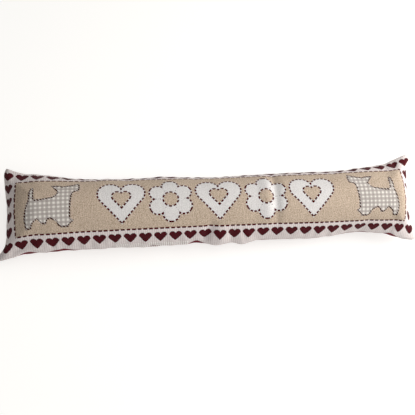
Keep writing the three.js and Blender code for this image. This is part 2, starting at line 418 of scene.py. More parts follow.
# %% [markdown]
# ## One closed mesh
# The face and the back share the points of the seam, so the cover is closed, as a sewn cushion is.
# The rows of points are joined to quads by slicing the grid of point numbers, which is quicker than
# a loop over the faces. Two loose sheets would be simpler, but light would leak in between them.

# %% Join the face and the back along the seam
inner = np.zeros(ALONG.shape, bool)
inner[1:-1, 1:-1] = True
face_number = np.arange(ALONG.size).reshape(ALONG.shape)
back_number = face_number.copy()
back_number[inner] = ALONG.size + np.arange(inner.sum())


def quads(number, flip):
    """The four corners of every square of a grid of point numbers."""
    corners = [number[:-1, :-1], number[1:, :-1], number[1:, 1:], number[:-1, 1:]]
    if flip:
        corners.reverse()
    return np.stack([c.ravel() for c in corners], axis=-1)


points = np.concatenate([FACE.reshape(-1, 3), BACK[inner]]) * MM
low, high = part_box(NODE)
shift = np.array([(low.x + high.x), (low.y + high.y), 0]) / 2
shift[:2] -= (points.min(axis=0) + points.max(axis=0))[:2] / 2
points += shift
face_quads = quads(face_number, False)
back_quads = quads(back_number, True)
print(len(points), "points,", len(face_quads) + len(back_quads), "squares, moved by", shift.round(4))

# %% [markdown]
# ## Settling the cloth
# The cover now gets a few steps of Blender's Cloth, with air pressure for the filling. The cloth
# keeps the lengths of the flat panels, because a second shape key, the flat pattern, gives it the
# lengths to hold. What touches the floor is pinned, gravity is off, and no point may move far, so
# the form stays and only the corners of the creases relax. Sculpting by hand could do the same, but
# a simulation finds the small tensions between the creases by itself.

# %% A few steps of cloth
SETTLE_FRAMES = 14
FURTHEST_MOVE = 2.5 * MM
FLOOR_REACH = 0.5 * MM
PRESSURE = 0.6


def settle(start, all_quads, flat):
    """The points after a few steps of cloth simulation."""
    mesh = bpy.data.meshes.new("settling_cover")
    mesh.from_pydata(start.tolist(), [], all_quads.tolist())
    cloth = bpy.data.objects.new("settling_cover", mesh)
    bpy.context.scene.collection.objects.link(cloth)
    cloth.shape_key_add(name="laid")
    pattern = cloth.shape_key_add(name="flat pattern")
    pattern.data.foreach_set("co", flat.astype(np.float32).ravel())
    pattern.value = 0
    pins = cloth.vertex_groups.new(name="on the floor")
    pins.add(np.flatnonzero(start[:, 2] < FLOOR_REACH).tolist(), 1.0, "REPLACE")

    modifier = cloth.modifiers.new("settle", "CLOTH")
    settings = modifier.settings
    settings.quality = 5
    settings.mass = 0.1
    settings.tension_stiffness = 20
    settings.compression_stiffness = 20
    settings.shear_stiffness = 6
    settings.bending_stiffness = 0.05
    settings.air_damping = 3
    settings.rest_shape_key = pattern
    settings.vertex_group_mass = pins.name
    settings.use_pressure = True
    settings.uniform_pressure_force = PRESSURE
    settings.effector_weights.gravity = 0
    modifier.collision_settings.use_collision = False
    modifier.point_cache.frame_end = SETTLE_FRAMES

    scene = bpy.context.scene
    for step in range(1, SETTLE_FRAMES + 1):
        scene.frame_set(step)
    done = cloth.evaluated_get(bpy.context.evaluated_depsgraph_get()).data
    settled = np.empty(start.size)
    done.vertices.foreach_get("co", settled)
    scene.frame_set(1)
    bpy.data.objects.remove(cloth)
    bpy.data.meshes.remove(mesh)

    move = settled.reshape(-1, 3) - start
    far = np.linalg.norm(move, axis=1, keepdims=True)
    return start + move * np.minimum(1, FURTHEST_MOVE / np.maximum(far, 1e-9))


print(SETTLE_FRAMES, "steps, held to", FURTHEST_MOVE / MM, "mm")

# %% Settle the cover
flat_along, flat_across = rounded(ALONG, ACROSS)
flat_face = np.stack([np.sign(ALONG) * flat_along, np.sign(ACROSS) * flat_across, 0 * ALONG], axis=-1)
flat_points = np.concatenate([flat_face.reshape(-1, 3), flat_face[inner]]) * MM
all_quads = np.concatenate([face_quads, back_quads])
settled = settle(points, all_quads, flat_points)
settled[:, 2] = np.maximum(settled[:, 2], 0)
print("settled by up to", round(np.linalg.norm(settled - points, axis=1).max() / MM, 2), "mm")

# %% [markdown]
# ## The seam
# The seam is sewn inside out and turned, so all that shows is a fine groove where the two cloths
# meet. The seam's points are pulled in a little, and a crease keeps the groove crisp when the mesh
# is subdivided. A bump in the material could show a groove too, but not in the outline.

# %% Pull the seam in
SEAM_GROOVE = 1.2 * MM
ROWS_FROM_END = 12

seam_numbers = face_number[~inner]
middle_line = settled[face_number[:, ACROSS_STEPS // 2]]
seam_points = settled[seam_numbers]
row = np.round((seam_points[:, 0] / MM + HALF_LENGTH) / COVER_LENGTH * ALONG_STEPS)
nearest = np.clip(row, ROWS_FROM_END, ALONG_STEPS - ROWS_FROM_END).astype(int)
inwards = middle_line[nearest] - seam_points
inwards[:, 2] = 0
inwards /= np.linalg.norm(inwards, axis=1, keepdims=True)
settled[seam_numbers] += inwards * SEAM_GROOVE
print(len(seam_numbers), "points of the seam pulled in")

# %% The cushion's mesh
SEAM_CREASE = 0.55

cover_mesh = bpy.data.meshes.new("cushion_cover")
cover_mesh.from_pydata(settled.tolist(), [], all_quads.tolist())
cover_mesh.polygons.foreach_set("use_smooth", np.ones(len(all_quads), bool))
which_cloth = np.repeat([0, 1], [len(face_quads), len(back_quads)])
cover_mesh.polygons.foreach_set("material_index", which_cloth)

on_seam = np.zeros(len(settled), bool)
on_seam[seam_numbers] = True
ends = np.empty(len(cover_mesh.edges) * 2, int)
cover_mesh.edges.foreach_get("vertices", ends)
sewn = on_seam[ends.reshape(-1, 2)].all(axis=1)
crease = cover_mesh.attributes.new("crease_edge", "FLOAT", "EDGE")
crease.data.foreach_set("value", sewn * SEAM_CREASE)
print("edges in the seam:", int(sewn.sum()))

# %% [markdown]
# ## Two maps of the flat cloth
# The pattern needs to know where on the flat cloth it is, so one UV map holds that place in metres.
# A second map is for baking: it lays the face out in two halves and the back in a narrow strip, so
# that the woven face gets most of a square picture. Blender could unwrap the mesh by itself, but
# here the flat cloth is known exactly, so both maps are simply written down.

# %% The map of the flat cloth
place_of = np.concatenate([
    np.stack([ALONG.ravel(), FACE_ACROSS.ravel()], axis=-1),
    np.stack([ALONG[inner], ACROSS[inner]], axis=-1),
])
corner_place = place_of[all_quads.ravel()]
cloth_map = cover_mesh.uv_layers.new(name="cloth")
cloth_map.data.foreach_set("uv", (corner_place * MM).ravel())
print(len(corner_place), "corners placed on the flat cloth")

# %% The map for baking
BAKE_MARGIN = 0.006
FACE_SHARE = 0.4


def between(share, start, stop):
    """A share of the way from one edge of a strip to the other, inside its margins."""
    return start + BAKE_MARGIN + share * (stop - start - 2 * BAKE_MARGIN)


is_back = np.repeat([False, True], [len(face_quads) * 4, len(back_quads) * 4])
quad_middle = place_of[all_quads][:, :, 0].mean(axis=1)
is_right = np.repeat(quad_middle > 0, 4)
along_share = corner_place[:, 0] / COVER_LENGTH + 0.5
half_share = np.where(is_right, 2 * along_share - 1, 2 * along_share)
across_share = corner_place[:, 1] / COVER_WIDTH + 0.5
bake_u = np.where(is_back, between(along_share, 0, 1), between(half_share, 0, 1))
left_v = between(across_share, 0, FACE_SHARE)
right_v = between(across_share, FACE_SHARE, 2 * FACE_SHARE)
back_v = between(across_share, 2 * FACE_SHARE, 1)
bake_v = np.where(is_back, back_v, np.where(is_right, right_v, left_v))
bake_map = cover_mesh.uv_layers.new(name="OFBake")
bake_map.data.foreach_set("uv", np.stack([bake_u, bake_v], axis=-1).ravel())
cover_mesh.uv_layers.active = cloth_map
print("maps:", [layer.name for layer in cover_mesh.uv_layers])

# %% The cushion as an object
cushion = bpy.data.objects.new("cushion_cover", cover_mesh)
bpy.context.scene.collection.objects.link(cushion)
finer = cushion.modifiers.new("finer cloth", "SUBSURF")
finer.levels = 1
finer.render_levels = 1
print(cushion.name, "has", len(cover_mesh.polygons), "squares before it is subdivided")

# %% [markdown]
# ## Sums that become shader nodes
# A woven pattern is all arithmetic: which side of a line a thread lies on, how far it is from an
# edge. Wiring that up by hand is slow to read, so one small class wraps a socket, and Python's own
# operators then add the Math nodes. Comparisons give masks of 0 and 1, & means both, | either, and
# ~ not. Any other node comes from the one method called node.

# %% A wire that can be used in sums
class Wire:
    """An output socket of a material's nodes, which Python's operators can reckon with."""

    def __init__(self, socket):
        self.socket = socket

    def node(self, kind, settings, sockets, output=0):
        """A new node of this tree: its settings first, then the values or links of its sockets."""
        tree = self.socket.id_data
        made = tree.nodes.new(kind)
        for name, value in settings.items():
            if name == "points":
                set_curve(made.mapping, value)
            else:
                setattr(made, name, value)
        for key, value in sockets.items():
            if isinstance(value, Wire):
                tree.links.new(value.socket, made.inputs[key])
            else:
                made.inputs[key].default_value = value
        return Wire(made.outputs[output])

    def math(self, operation, first, second=0.0):
        return self.node("ShaderNodeMath", {"operation": operation}, {0: first, 1: second})

    def __add__(self, other):
        return self.math("ADD", self, other)

    def __radd__(self, other):
        return self.math("ADD", other, self)

    def __sub__(self, other):
        return self.math("SUBTRACT", self, other)

    def __rsub__(self, other):
        return self.math("SUBTRACT", other, self)

    def __mul__(self, other):
        return self.math("MULTIPLY", self, other)

    def __rmul__(self, other):
        return self.math("MULTIPLY", other, self)

    def __truediv__(self, other):
        return self.math("DIVIDE", self, other)

    def __mod__(self, other):
        return self.math("FLOORED_MODULO", self, other)

    def __pow__(self, other):
        return self.math("POWER", self, other)

    def __lt__(self, other):
        return self.math("LESS_THAN", self, other)

    def __gt__(self, other):
        return self.math("GREATER_THAN", self, other)

    def __and__(self, other):
        return self.math("MULTIPLY", self, other)

    def __or__(self, other):
        return self.math("MAXIMUM", self, other)

    def __invert__(self):
        return self.math("SUBTRACT", 1.0, self)

    def __abs__(self):
        return self.math("ABSOLUTE", self)

    def __floor__(self):
        return self.math("FLOOR", self)

    def root(self):
        return self.math("SQRT", self.math("MAXIMUM", self, 0.0))

    def sine(self):
        return self.math("SINE", self)

    def angle(self, beside):
        """The angle of the point with this height and the given distance beside."""
        return self.math("ARCTAN2", self, beside)

    def least(self, other):
        return self.math("MINIMUM", self, other)

    def pick(self, off, on):
        """One number where this mask is 0 and another where it is 1."""
        return self.node("ShaderNodeMix", {"data_type": "FLOAT"}, {0: self, 2: off, 3: on})

    def colour(self, off, on):
        """One colour where this mask is 0 and another where it is 1."""
        return self.node("ShaderNodeMix", {"data_type": "RGBA"}, {0: self, 6: off, 7: on}, 2)

    def beside(self, other):
        """A flat vector of this value and another."""
        return self.node("ShaderNodeCombineXYZ", {}, {0: self, 1: other})


print("wires can be added, multiplied, compared and folded")

# %% Curves, yarn colours and new materials
def set_curve(mapping, places):
    """Gives a curve node straight stretches between these places."""
    line = mapping.curves[0]
    while len(line.points) < len(places):
        line.points.new(0.5, 0.5)
    for point, (x, y) in zip(line.points, places):
        point.location = (x, y)
        point.handle_type = "VECTOR"
    mapping.update()


def dyed(red, green, blue):
    """A yarn's colour, from the 0 to 255 values of a screen to the linear ones of a shader."""
    linear = [((c / 255 + 0.055) / 1.055) ** 2.4 for c in (red, green, blue)]
    return (*linear, 1.0)


def new_finish(name):
    """A material with the flat cloth's map: the material, its shader, and the two places in mm."""
    material = bpy.data.materials.new(name)
    material.use_nodes = True
    tree = material.node_tree
    shader = tree.nodes["Principled BSDF"]
    uv = tree.nodes.new("ShaderNodeUVMap")
    uv.uv_map = cloth_map.name
    flat_place = Wire(uv.outputs[0])
    along_place = flat_place.node("ShaderNodeSeparateXYZ", {}, {0: flat_place})
    across_place = Wire(along_place.socket.node.outputs[1])
    return material, shader, along_place / MM, across_place / MM


print("a yarn of 128 on the screen is", round(dyed(128, 128, 128)[0], 3), "in a shader")

# %% [markdown]
# ## Threads
# Tapestry is woven thread by thread, so the edge of a motif is a fine staircase and no colour is
# quite even. The place on the cloth is rounded to the middle of its thread crossing before any motif
# is reckoned, and every crossing gets a shade of its own from white noise. Longer streaks along the
# warp come from a stretched noise. A scan of cloth could be used instead, but nodes stay sharp from
# any distance.

# %% Threads of the face
THREAD = 0.9
PATTERN_RISE = 4
STREAK_SIZE = (1.6, 26)
HEATHER_SIZE = (2.0, 2.6)

tapestry, tapestry_shader, along, across = new_finish("woven_tapestry")
crossing_along = math.floor(along / THREAD)
crossing_across = math.floor(across / THREAD)
u = (crossing_along + 0.5) * THREAD
v = (crossing_across + 0.5) * THREAD - PATTERN_RISE
crossing = crossing_along.beside(crossing_across)
thread_shade = u.node("ShaderNodeTexWhiteNoise", {"noise_dimensions": "2D"}, {"Vector": crossing})
warp_streak = u.node(
    "ShaderNodeTexNoise",
    {"noise_dimensions": "2D"},
    {"Vector": (along / STREAK_SIZE[0]).beside(across / STREAK_SIZE[1]), "Scale": 1.0, "Detail": 2.0},
)
heather = u.node(
    "ShaderNodeTexNoise",
    {"noise_dimensions": "2D"},
    {"Vector": (along / HEATHER_SIZE[0]).beside(across / HEATHER_SIZE[1]), "Scale": 1.0, "Detail": 1.0},
)
print("threads every", THREAD, "mm")

# %% [markdown]
# ## The border of hearts
# Hearts run round the whole edge at an even pitch, all upright. Each could be a piece of its own, but
# woven hearts are flat and share their threads with the ground. One heart is enough: a remainder
# folds the cloth onto one cell of the repeat, and the mask of the border keeps those outside the
# panel. The heart is a pair of round lobes above and two sides that curve down to a point.

# %% Hearts
PANEL_HALF_LENGTH = 411
PANEL_HALF_WIDTH = 60
HEART_PITCH_ALONG = 863 / 28
HEART_PITCH_ACROSS = 31
FIRST_HEART_ALONG = 431.5
FIRST_HEART_ACROSS = 77.5
LOBE_RADIUS = 7.0
LOBE_AT = (6.4, 2.7)
HEART_POINT = -11.8
HEART_HALF_WIDTH = LOBE_AT[0] + LOBE_RADIUS
HEART_SIDE_BEND = 1.32


def folded(place, first, pitch):
    """A place on the repeat's one cell, measured from the cell's middle."""
    return (place + first + pitch / 2) % pitch - pitch / 2


in_panel = (abs(u) < PANEL_HALF_LENGTH) & (abs(v) < PANEL_HALF_WIDTH)
heart_x = abs(folded(u, FIRST_HEART_ALONG, HEART_PITCH_ALONG))
heart_y = folded(v, FIRST_HEART_ACROSS, HEART_PITCH_ACROSS)
lobe_x = heart_x - LOBE_AT[0]
heart_top = (LOBE_RADIUS**2 - lobe_x * lobe_x).root() + LOBE_AT[1]
side_rise = (heart_x / HEART_HALF_WIDTH) ** HEART_SIDE_BEND
heart_bottom = side_rise * (LOBE_AT[1] - HEART_POINT) + HEART_POINT
in_heart = (heart_y < heart_top) & (heart_y > heart_bottom) & (heart_x < HEART_HALF_WIDTH)
rows_reach_along = FIRST_HEART_ALONG + HEART_PITCH_ALONG / 2
rows_reach_across = FIRST_HEART_ACROSS + HEART_PITCH_ACROSS / 2
in_rows = (abs(u) < rows_reach_along) & (abs(v) < rows_reach_across)
hearts = in_heart & in_rows & ~in_panel
print("hearts", 2 * HEART_HALF_WIDTH, "mm wide, every", round(HEART_PITCH_ALONG, 1), "mm")

# %% [markdown]
# ## Dashed lines
# The panel is framed by a line like running stitches, which is woven in. Tubes of thread could make
# it, but they would stand up from the cloth. A dash is a strip about an edge, cut into lengths by
# the remainder of the place along that edge.

# %% The dashed frame of the panel
FRAME_DASH = 11.3
DASH_SHARE = 0.7
FRAME_LINE = 3.4


def dashes(place, pitch):
    """The mask of the stitches in a line, from the place along it."""
    return (place % pitch) < pitch * DASH_SHARE


on_long_sides = (abs(abs(v) - PANEL_HALF_WIDTH) < FRAME_LINE / 2) & (abs(u) < PANEL_HALF_LENGTH)
on_short_sides = (abs(abs(u) - PANEL_HALF_LENGTH) < FRAME_LINE / 2) & (abs(v) < PANEL_HALF_WIDTH)
panel_frame = (on_long_sides & dashes(u, FRAME_DASH)) | (on_short_sides & dashes(v, FRAME_DASH))
print("dashes", round(FRAME_DASH * DASH_SHARE, 1), "mm long")

# %% [markdown]
# ## Large white motifs
# The middle of the panel holds a row of large white shapes, hearts and flowers in turn, each with an
# opening in its middle and a dashed outline. For a dashed outline two numbers are needed at every
# place: the distance from the edge and the place along it. Both are easy on circles and straight
# lines, so the heart is two arcs and two tangents, and the flower a ring of circles.

# %% Edges of a heart, a flower and a ring
def heart_edge(x, y, size):
    """Distance from the edge of a heart, negative inside, and the place along the edge."""
    lobe = 0.27 * size
    lobe_x, lobe_y = 0.235 * size, 0.17 * size
    point_y = -0.5 * size
    to_lobe = math.hypot(lobe_x, lobe_y - point_y)
    tangent = math.sqrt(to_lobe**2 - lobe**2)
    slope = math.atan2(lobe_y - point_y, lobe_x) - math.asin(lobe / to_lobe)
    run_x, run_y = math.cos(slope), math.sin(slope)
    side = abs(x)
    out_x = side - lobe_x
    out_y = y - lobe_y
    from_lobe = (out_x * out_x + out_y * out_y).root() - lobe
    along_side = side * run_x + (y - point_y) * run_y - tangent
    from_side = side * run_y - (y - point_y) * run_x
    round_part = (along_side > 0) | (out_y > 0)
    round_place = (out_y.angle(out_x) - (slope - math.pi / 2)) * lobe
    return round_part.pick(from_side, from_lobe), round_part.pick(along_side, round_place)


def flower_edge(x, y, petals, size):
    """Distance from the edge of a flower of round petals, and the place along the edge."""
    petal = 0.19 * size
    reach = size / 2 - petal
    sector = 2 * math.pi / petals
    radius = (x * x + y * y).root()
    turn = abs((y.angle(x) + math.pi / 2 + sector / 2) % sector - sector / 2)
    petal_x = (turn + math.pi / 2).sine() * radius - reach
    petal_y = turn.sine() * radius
    from_edge = (petal_x * petal_x + petal_y * petal_y).root() - petal
    return from_edge.least(radius - 0.8 * reach), petal_y.angle(petal_x) * petal


def ring_edge(x, y, radius):
    """Distance from a circle, and the place along it."""
    return (x * x + y * y).root() - radius, y.angle(x) * radius


print("edges of a heart, a flower and a ring can be measured")

# %% The row of hearts and flowers
MOTIF_PITCH = 100
MOTIF_ROW_HALF = 250
MOTIF_SIZE = 98
MOTIF_DASH = 8.8
MOTIF_LINE = 3.4
HEART_OPENING = 34
OPENING_RISE = 4
PETALS = 6
FLOWER_OPENING = 14


def cut_out(outer, opening):
    """The mask of a shape with an opening, and the mask of the dashes round both edges."""
    from_outer, outer_place = outer
    from_opening, opening_place = opening
    shape = (from_outer < 0) & (from_opening > 0)
    outer_line = (from_outer > -MOTIF_LINE) & dashes(outer_place, MOTIF_DASH)
    opening_line = (from_opening < MOTIF_LINE) & dashes(opening_place, MOTIF_DASH)
    return shape, shape & (outer_line | opening_line)


motif_x = folded(u, MOTIF_ROW_HALF - MOTIF_PITCH / 2, MOTIF_PITCH)
in_row = abs(u) < MOTIF_ROW_HALF
is_flower = (math.floor((u + MOTIF_ROW_HALF) / MOTIF_PITCH) % 2) > 0.5
heart_opening = heart_edge(motif_x, v - OPENING_RISE, HEART_OPENING)
big_heart = cut_out(heart_edge(motif_x, v, MOTIF_SIZE), heart_opening)
flower_opening = ring_edge(motif_x, v, FLOWER_OPENING)
big_flower = cut_out(flower_edge(motif_x, v, PETALS, MOTIF_SIZE), flower_opening)
motifs = is_flower.pick(big_heart[0], big_flower[0]) & in_row
motif_lines = is_flower.pick(big_heart[1], big_flower[1]) & in_row
print("motifs every", MOTIF_PITCH, "mm")

# %% [markdown]
# ## Two terriers
# A terrier stands at each end of the panel, facing the middle. Its outline is given as two
# profiles, the top line and the bottom line, each a short table of places from the tail to the nose,
# and a curve node reads each table. A line like that can't turn back on itself, so the ear and the
# tuft of the chest are small triangles. Folding the cloth about its middle gives the second terrier.
# Looking a thread or two to each side tells where the outline runs.

# %% The shape of a terrier
TERRIER_BOX = 110
TOP_LINE = (
    (0, 20), (2, 36), (6, 50), (9, 58), (10, 74), (13, 87), (18, 88), (20, 82), (21, 59), (30, 59),
    (44, 61), (56, 63), (63, 68), (66, 76), (67, 89), (78, 89), (90, 92), (105, 97), (108, 97),
    (110, 86),
)
BOTTOM_LINE = (
    (0, 20), (2, 10), (4, 0), (15, 0), (16, 7), (20, 14), (27, 18), (31, 13), (36, 8), (44, 8), (47, 17),
    (52, 18), (63, 13), (66, 5), (73, 0), (86, 0), (90, 8), (91, 20), (92, 44), (94, 64), (97, 72),
    (107, 75), (109, 78), (110, 86),
)
EAR = ((52, 92), (72, 91), (67, 72))
TUFT = ((89, 19), (98, 13), (88, 5))


def profile(x, places):
    """The height of a drawn line above the feet."""
    shares = [(px / TERRIER_BOX, py / TERRIER_BOX) for px, py in places]
    curve = x.node("ShaderNodeFloatCurve", {"points": shares}, {1: x / TERRIER_BOX})
    return curve * TERRIER_BOX


def triangle(x, y, corners):
    """The mask of a triangle, with its corners in the order of a clock's hand."""
    sides = []
    for (ax, ay), (bx, by) in zip(corners, corners[1:] + corners[:1]):
        sides.append((x - ax) * (by - ay) - (y - ay) * (bx - ax) > 0)
    return sides[0] & sides[1] & sides[2]


def terrier(x, y):
    """The mask of a terrier, from places measured from its tail and its feet."""
    inside = (x > 0) & (x < TERRIER_BOX)
    body = inside & (y < profile(x, TOP_LINE)) & (y > profile(x, BOTTOM_LINE))
    return body | triangle(x, y, EAR) | triangle(x, y, TUFT)


print(len(TOP_LINE), "places in the top line,", len(BOTTOM_LINE), "in the bottom line")

# %% Two terriers, their outline and their check
TERRIER_TAIL_AT = 392
TERRIER_FEET_AT = -48
OUTLINE_REACH = 3.2
# The outline is broken up: of every 7 threads on the slant, 5 are brown
OUTLINE_REPEAT = 7
OUTLINE_STITCH = 5
CHECK = 8.8
LIGHT_SHARE = 0.47
# How light one light stripe makes the check, and how much more a crossing of two does
STRIPE_LIGHT = 0.22
CROSSING_LIGHT = 0.56

terrier_x = TERRIER_TAIL_AT - abs(u)
terrier_y = v - TERRIER_FEET_AT
terriers = terrier(terrier_x, terrier_y)
core = terrier(terrier_x - OUTLINE_REACH, terrier_y)
core = core & terrier(terrier_x + OUTLINE_REACH, terrier_y)
core = core & terrier(terrier_x, terrier_y - OUTLINE_REACH)
core = core & terrier(terrier_x, terrier_y + OUTLINE_REACH)
dotted = ((crossing_along + crossing_across) % OUTLINE_REPEAT) < OUTLINE_STITCH
terrier_lines = terriers & ~core & dotted
light_warp = (u % CHECK) < CHECK * LIGHT_SHARE
light_weft = (v % CHECK) < CHECK * LIGHT_SHARE
check_light = (light_warp + light_weft) * STRIPE_LIGHT + (light_warp & light_weft) * CROSSING_LIGHT
print("terriers", TERRIER_BOX, "mm long")

# %% [markdown]
# ## Dyeing the yarns
# Each mask now chooses its yarn. The ground is natural and heathered, the border and the motifs are
# off-white, the hearts and dashes dark red. The shade of each crossing and the streaks of the warp
# go in before the masks, so that every yarn varies in its own way. Each motif could have a material
# of its own, but one material keeps the threads in step across every edge.

# %% Colours of the face
NATURAL_LIGHT = dyed(224, 206, 187)
NATURAL_DARK = dyed(158, 137, 116)
WHITE_LIGHT = dyed(240, 238, 237)
WHITE_DARK = dyed(206, 202, 200)
BORDER_LIGHT = dyed(238, 231, 229)
BORDER_DARK = dyed(204, 190, 188)
RED_LIGHT = dyed(90, 15, 27)
RED_DARK = dyed(50, 6, 12)
CHECK_LIGHT = dyed(238, 234, 228)
CHECK_DARK = dyed(166, 156, 150)
OUTLINE_BROWN = dyed(58, 16, 8)
RIB_PITCH = 5 * THREAD
RIB_SHARE = 0.6
RIB_WEIGHT = 0.4
CHECK_WEIGHT = 0.8
SHADE_MIDDLE = 0.8
SHADE_SPREAD = 0.7

shade = thread_shade * 0.3 + warp_streak * 0.4 + heather * 0.9
light = (shade - SHADE_MIDDLE) / SHADE_SPREAD + 0.5
rib = (u % RIB_PITCH) < RIB_SHARE * RIB_PITCH
natural = light.colour(NATURAL_DARK, NATURAL_LIGHT)
white = light.colour(WHITE_DARK, WHITE_LIGHT)
border = (light * (1 - RIB_WEIGHT) + rib * RIB_WEIGHT).colour(BORDER_DARK, BORDER_LIGHT)
red = thread_shade.colour(RED_DARK, RED_LIGHT)
check_shade = check_light * CHECK_WEIGHT + light * (1 - CHECK_WEIGHT)
check = check_shade.colour(CHECK_DARK, CHECK_LIGHT)
ground = in_panel.colour(border, natural)
ground = motifs.colour(ground, white)
ground = terriers.colour(ground, check)
ground = terrier_lines.colour(ground, OUTLINE_BROWN)
face_colour = (hearts | panel_frame | motif_lines).colour(ground, red)
print("nodes in the pattern:", len(tapestry.node_tree.nodes))

# %% [markdown]
# ## Weave
# Close to, each crossing is a little hump: the warp passes over the weft, then under it. The hump of
# the thread on top gives the bump, and the roughness follows the shade a little, because cloth is
# dull in its hollows. Modelled threads would need millions of faces, and a bump looks the same from
# an arm's length.

# %% Finish of the face
WEAVE_DEPTH = 0.25 * MM


def weave_height(first, second, pitch):
    """Plain weave: the hump of the warp or of the weft, whichever is on top at this crossing."""
    warp_hump = abs((first * (math.pi / pitch)).sine())
    weft_hump = abs((second * (math.pi / pitch)).sine())
    warp_on_top = ((math.floor(first / pitch) + math.floor(second / pitch)) % 2) > 0.5
    return warp_on_top.pick(weft_hump, warp_hump)


def finish_cloth(shader, colour, height, roughness):
    """Links a cloth's colour, weave and roughness to its shader."""
    tree = shader.id_data
    relief = {"Strength": 0.6, "Distance": WEAVE_DEPTH, "Height": height}
    bump = height.node("ShaderNodeBump", {}, relief)
    tree.links.new(colour.socket, shader.inputs["Base Color"])
    tree.links.new(roughness.socket, shader.inputs["Roughness"])
    tree.links.new(bump.socket, shader.inputs["Normal"])
    shader.inputs["Specular IOR Level"].default_value = 0.1
    shader.inputs["Sheen Weight"].default_value = 0.05
    shader.inputs["Sheen Roughness"].default_value = 0.5


face_weave = weave_height(along, across, THREAD) + thread_shade * 0.3
face_roughness = light * -0.1 + 0.95
finish_cloth(tapestry_shader, face_colour, face_weave, face_roughness)
cover_mesh.materials.append(tapestry)
print("nodes in the tapestry:", len(tapestry.node_tree.nodes))

# %% [markdown]
# ## The back
# Only slivers of the back show beside the seam, in the same dark red as the hearts. It is a plain
# cotton cloth. It could go without a pattern of its own, but flat paint beside woven cloth looks like
# plastic, so it gets a finer plain weave and a faint unevenness of the dye.

# %% Finish of the back
BACK_THREAD = 0.6
BACK_LIGHT = dyed(128, 32, 46)
BACK_DARK = dyed(88, 16, 30)
BACK_CLOUD = 30

back_cloth, back_shader, back_along, back_across = new_finish("plain_red_cloth")
flat_noise = {"noise_dimensions": "2D"}
back_crossing = math.floor(back_along / BACK_THREAD).beside(math.floor(back_across / BACK_THREAD))
back_shade = back_along.node("ShaderNodeTexWhiteNoise", flat_noise, {"Vector": back_crossing})
cloud_place = (back_along / BACK_CLOUD).beside(back_across / BACK_CLOUD)
cloud_sockets = {"Vector": cloud_place, "Scale": 1.0, "Detail": 4.0}
back_cloud = back_along.node("ShaderNodeTexNoise", flat_noise, cloud_sockets)
back_colour = (back_shade * 0.4 + back_cloud * 0.6).colour(BACK_DARK, BACK_LIGHT)
back_weave = weave_height(back_along, back_across, BACK_THREAD)
back_roughness = back_cloud * 0.1 + 0.85
finish_cloth(back_shader, back_colour, back_weave, back_roughness)
cover_mesh.materials.append(back_cloth)
print("nodes in the back's cloth:", len(back_cloth.node_tree.nodes))

# %% [markdown]
# ## Closing stitches
# The cushion was filled through a gap in the lower seam, which was then sewn up by hand with white
# thread. Each stitch crosses the seam on a slant. They could be light marks in the pattern, but real
# thread stands up and throws a small shadow. So a stitch is a short bent tube that lies on the cloth,
# and all of them are joined to one mesh.

# %% The way of one stitch
STITCHES_FROM = -212
STITCHES_TO = -64
STITCH_PITCH = 4.4
STITCH_UP = 2.3
STITCH_DOWN = -0.7
STITCH_SLANT = 0.2
STITCH_LIFT = 1.3 * MM
STITCH_STEPS = 8
OUT_OF_SEAM = np.array([0, -0.8, 0.6])


def on_cloth(place, up):
    """A point of the cover beside the lower seam: rows up on the face, or down on the back."""
    row = (place + HALF_LENGTH) / COVER_LENGTH * ALONG_STEPS
    first = int(row)
    number = face_number if up > 0 else back_number
    near = int(abs(up))
    spots = [settled[number[first + step, near + rise]] for rise in (0, 1) for step in (0, 1)]
    lower = spots[0] * (first + 1 - row) + spots[1] * (row - first)
    upper = spots[2] * (first + 1 - row) + spots[3] * (row - first)
    return lower + (upper - lower) * (abs(up) - near)


def stitch_path(place):
    """The way of one stitch, from the face over the seam to the back, lying on the cloth."""
    path = []
    for t in np.linspace(0, 1, STITCH_STEPS):
        up = STITCH_UP + (STITCH_DOWN - STITCH_UP) * t
        lift = STITCH_LIFT * math.sin(math.pi * t)
        slanted = place + STITCH_SLANT * STITCH_PITCH * (2 * t - 1)
        path.append(on_cloth(slanted, up) + lift * OUT_OF_SEAM)
    return path


print("first stitch starts at", stitch_path(STITCHES_FROM)[0].round(3))

# %% A tube along a path
THREAD_RADIUS = 0.85 * MM
TUBE_SIDES = 6


def tube(path, radius, sides):
    """Points and faces of a closed tube along a path."""
    path = np.array(path)
    spots = []
    for i, spot in enumerate(path):
        ahead = path[min(i + 1, len(path) - 1)] - path[max(i - 1, 0)]
        ahead /= np.linalg.norm(ahead)
        first = np.cross(ahead, [1.0, 0, 0])
        first /= np.linalg.norm(first)
        second = np.cross(ahead, first)
        for turn in np.linspace(0, 2 * math.pi, sides, endpoint=False):
            spots.append(spot + radius * (math.cos(turn) * first + math.sin(turn) * second))
    faces = []
    for i in range(len(path) - 1):
        for k in range(sides):
            near, far = i * sides + k, i * sides + (k + 1) % sides
            faces.append((near, far, far + sides, near + sides))
    faces.append(tuple(reversed(range(sides))))
    faces.append(tuple(range(len(spots) - sides, len(spots))))
    return spots, faces


print("thread is", round(2 * THREAD_RADIUS / MM, 2), "mm thick")

# %% All the stitches as one mesh
stitch_points = []
stitch_faces = []
for place in np.arange(STITCHES_FROM, STITCHES_TO, STITCH_PITCH):
    spots, faces = tube(stitch_path(place), THREAD_RADIUS, TUBE_SIDES)
    stitch_faces += [tuple(n + len(stitch_points) for n in face) for face in faces]
    stitch_points += [spot.tolist() for spot in spots]
stitch_mesh = bpy.data.meshes.new("closing_stitches")
stitch_mesh.from_pydata(stitch_points, [], stitch_faces)
stitch_mesh.polygons.foreach_set("use_smooth", np.ones(len(stitch_faces), bool))
stitches = bpy.data.objects.new("closing_stitches", stitch_mesh)
bpy.context.scene.collection.objects.link(stitches)
print("stitches:", len(stitch_faces) // (TUBE_SIDES * (STITCH_STEPS - 1) + 2))

